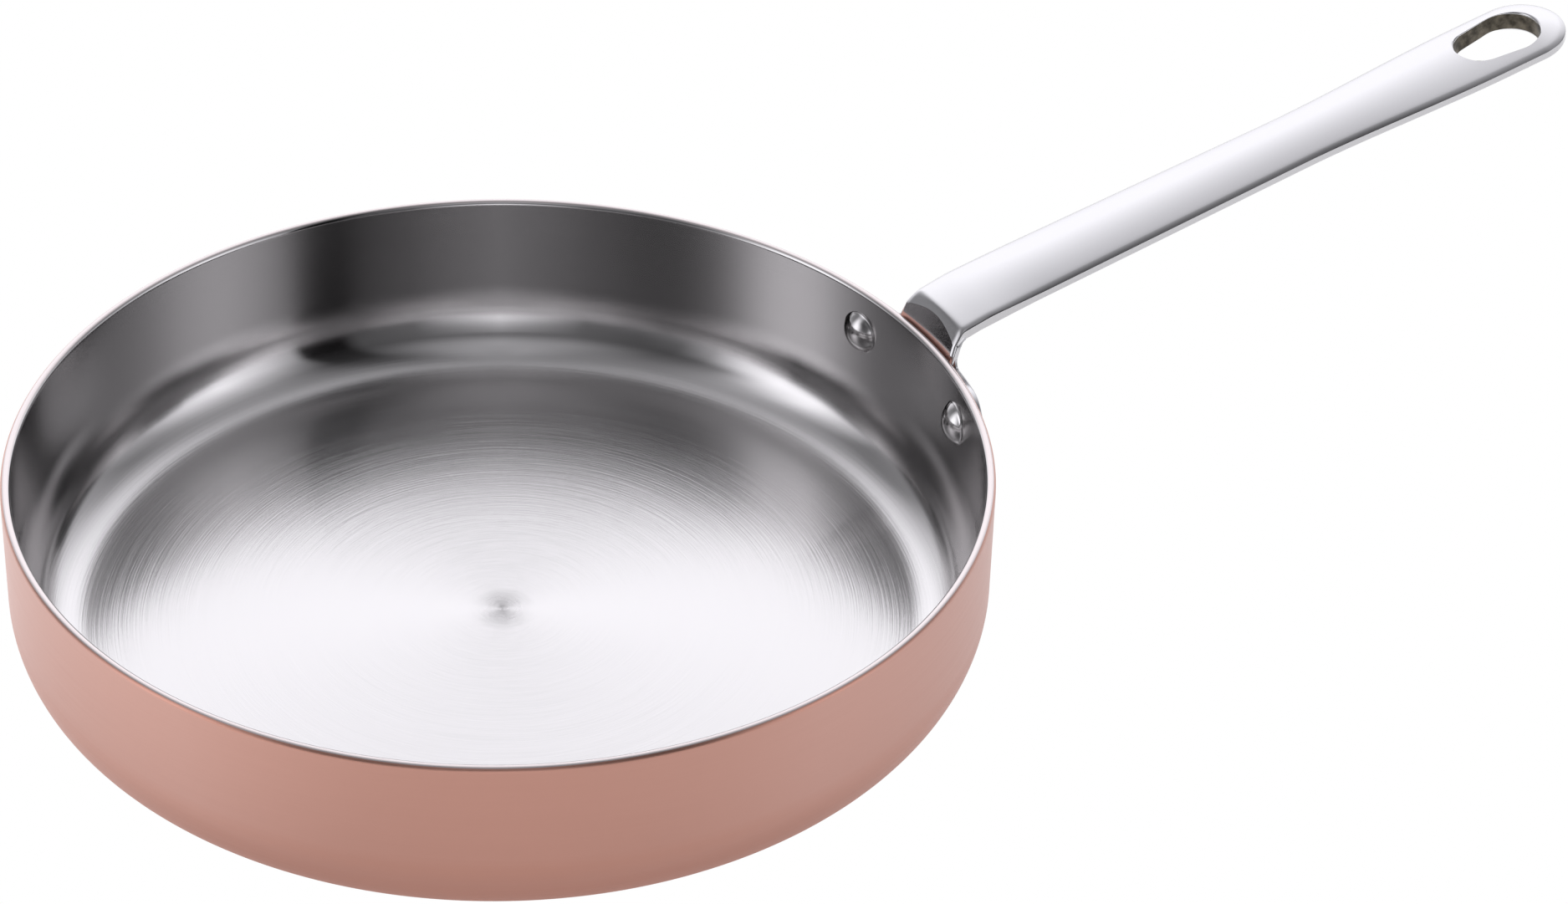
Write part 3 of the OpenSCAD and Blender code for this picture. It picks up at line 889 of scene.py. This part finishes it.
# The table glows more to the photograph's left: two places across it, in metres from the
# pan's axis, and the strength of the glow from there on
GLOW_LEFT_X, GLOW_RIGHT_X = -0.22, -0.05
GLOW_LEFT, GLOW_RIGHT = 0.74, 0.45

# The camera, solved from the photograph in a frame whose Y points away from it: its place
# over the middle of the rim in metres, its turns in degrees and its lens in millimetres
CAMERA_BACK, CAMERA_UP = 0.9015, 0.6303
CAMERA_YAW, CAMERA_PITCH, CAMERA_ROLL = 4.354, 34.841, 1.982
CAMERA_LENS = 104.07


def light_table(scene):
    """The table under the pan: a sheet of opal acrylic with a weak light under it. The
    photograph shows it cut out to white, so the camera sees it so; the metal mirrors it with
    its shadows."""
    bm = bmesh.new()
    bmesh.ops.create_circle(bm, cap_ends=True, segments=96, radius=FLOOR_R)
    mesh = bpy.data.meshes.new("floor")
    bm.to_mesh(mesh)
    bm.free()
    floor = bpy.data.objects.new("floor", mesh)
    scene.collection.objects.link(floor)
    paint = bpy.data.materials.new("lit_opal_acrylic")
    paint.use_nodes = True
    tree = paint.node_tree
    shader = tree.nodes["Principled BSDF"]
    shader.inputs["Base Color"].default_value = rgba(scene.pan_finishes.floor)
    shader.inputs["Roughness"].default_value = 0.9
    shader.inputs["Specular IOR Level"].default_value = 0.2
    shader.inputs["Emission Color"].default_value = linear("#FFFFFF")
    place = node(tree, "TexCoord").outputs["Object"]
    turned = node(tree, "Mapping", {"Vector": place, "Rotation": (0, 0, HANDLE_TURN)})
    across = node(tree, "SeparateXYZ", {0: turned.outputs[0]}).outputs["X"]
    glow = map_range(tree, across, GLOW_LEFT_X, GLOW_RIGHT_X, GLOW_LEFT, GLOW_RIGHT)
    tree.links.new(glow, shader.inputs["Emission Strength"])
    white = node(tree, "Emission", {"Color": linear("#FFFFFF"), "Strength": 1.0}).outputs[0]
    seen = node(tree, "LightPath").outputs["Is Camera Ray"]
    both = node(tree, "MixShader", {0: seen, 1: shader.outputs[0], 2: white}).outputs[0]
    tree.links.new(both, tree.nodes["Material Output"].inputs["Surface"])
    mesh.materials.append(paint)


def studio_light(scene):
    """A pale room whose light is drawn ring by ring, from the table's edge to overhead."""
    world = bpy.data.worlds.new("studio")
    scene.world = world
    world.use_nodes = True
    tree = world.node_tree
    tree.nodes.clear()
    ray = node(tree, "TexCoord").outputs["Generated"]
    turned = node(tree, "Mapping", {"Vector": ray, "Rotation": (0, 0, HANDLE_TURN)}).outputs[0]
    x, y, z = node(tree, "SeparateXYZ", {0: turned}).outputs
    turn = math_node(tree, "ARCTAN2", x, y)
    around = math_node(tree, "MULTIPLY_ADD", turn, 1 / math.tau, 0.5)
    rise = math_node(tree, "ARCSINE", z)
    height = math_node(tree, "MULTIPLY", rise, 180 / math.pi)
    heights = [ring[0] for ring in LIGHT_RINGS] + [90]
    level = 0.0
    for i, (middle, levels) in enumerate(LIGHT_RINGS):
        tones = node(tree, "ValToRGB", {"Fac": around})
        points = tones.color_ramp.elements
        while len(points) < len(levels):
            points.new(0.5)
        for point, heading, amount in zip(points, HEADINGS, levels):
            point.position = heading / 360 + 0.5
            point.color = [amount / BRIGHTEST] * 3 + [1.0]
        # Each ring fades out towards the next one above and below; the lowest goes on down
        share = map_range(tree, height, middle, heights[i + 1], 1.0, 0.0)
        if i:
            below = map_range(tree, height, heights[i - 1], middle)
            share = math_node(tree, "MULTIPLY", share, below)
        level = math_node(tree, "MULTIPLY_ADD", share, tones.outputs["Color"], level)
    top = map_range(tree, height, heights[-2], heights[-1], 0.0, OVERHEAD_LEVEL / BRIGHTEST)
    total = math_node(tree, "ADD", level, top)
    strength = math_node(tree, "MULTIPLY", total, BRIGHTEST * EXPOSURE)
    back = node(tree, "Background", {"Color": linear("#FAFAFF"), "Strength": strength})
    out = node(tree, "OutputWorld", {"Surface": back.outputs[0]})
    out.is_active_output = True


def photo_camera(scene):
    """The camera that the photograph was taken with, turned with the handle."""
    sin_yaw, cos_yaw = sin_deg(CAMERA_YAW), cos_deg(CAMERA_YAW)
    sin_pitch, cos_pitch = sin_deg(CAMERA_PITCH), cos_deg(CAMERA_PITCH)
    sin_roll, cos_roll = sin_deg(CAMERA_ROLL), cos_deg(CAMERA_ROLL)
    look = Vector((sin_yaw * cos_pitch, cos_yaw * cos_pitch, -sin_pitch))
    right = Vector((cos_yaw, -sin_yaw, 0))
    over = right.cross(look)
    side = cos_roll * right + sin_roll * over
    up = -sin_roll * right + cos_roll * over
    place = Matrix((side, up, -look)).transposed().to_4x4()
    place.translation = Vector((0, -CAMERA_BACK, CAMERA_UP + scene.pan_body.height))
    camera = bpy.data.cameras.new("camera")
    camera.sensor_width = 36
    camera.lens = CAMERA_LENS
    camera.clip_start, camera.clip_end = 0.05, 50
    seer = bpy.data.objects.new("camera", camera)
    scene.collection.objects.link(seer)
    seer.matrix_world = Matrix.Rotation(-HANDLE_TURN, 4, "Z") @ place
    scene.camera = seer


class PAN_OT_stage(bpy.types.Operator):
    """Set the pale table, the soft studio light and the camera"""

    bl_idname = "omelette_pan.stage"
    bl_label = "Studio"
    bl_options = {"REGISTER", "UNDO"}

    def execute(self, context):
        scene = context.scene
        light_table(scene)
        studio_light(scene)
        photo_camera(scene)
        scene.view_settings.view_transform = "Standard"
        return {"FINISHED"}


class PAN_PT_pieces(bpy.types.Panel):
    """Lists the pieces of the pan and their sizes"""

    bl_idname = "PAN_PT_pieces"
    bl_label = "Omelette Pan"
    bl_space_type = "VIEW_3D"
    bl_region_type = "UI"
    bl_category = "Omelette Pan"

    def draw(self, context):
        for operator, group in zip(OPERATORS, GROUPS):
            sizes, box = getattr(context.scene, group), self.layout.box()
            box.operator(operator.bl_idname)
            for name in sizes.__annotations__:
                box.prop(sizes, name)


GROUPS = {"pan_body": PanBodySizes, "pan_rivets": RivetSizes, "pan_handle": HandleSizes,
          "pan_finishes": Finishes}
OPERATORS = (PAN_OT_clad_body, PAN_OT_rivets, PAN_OT_handle, PAN_OT_stage)


def register():
    for name, group in GROUPS.items():
        bpy.utils.register_class(group)
        setattr(bpy.types.Scene, name, bpy.props.PointerProperty(type=group))
    for cls in OPERATORS + (PAN_PT_pieces,):
        bpy.utils.register_class(cls)


def unregister():
    for cls in (PAN_PT_pieces,) + OPERATORS[::-1]:
        bpy.utils.unregister_class(cls)
    for name, group in GROUPS.items():
        delattr(bpy.types.Scene, name)
        bpy.utils.unregister_class(group)


def main():
    register()
    bpy.ops.omelette_pan.stage()
    bpy.ops.omelette_pan.clad_body()
    bpy.ops.omelette_pan.rivets()
    bpy.ops.omelette_pan.handle()


if __name__ == "__main__":
    main()
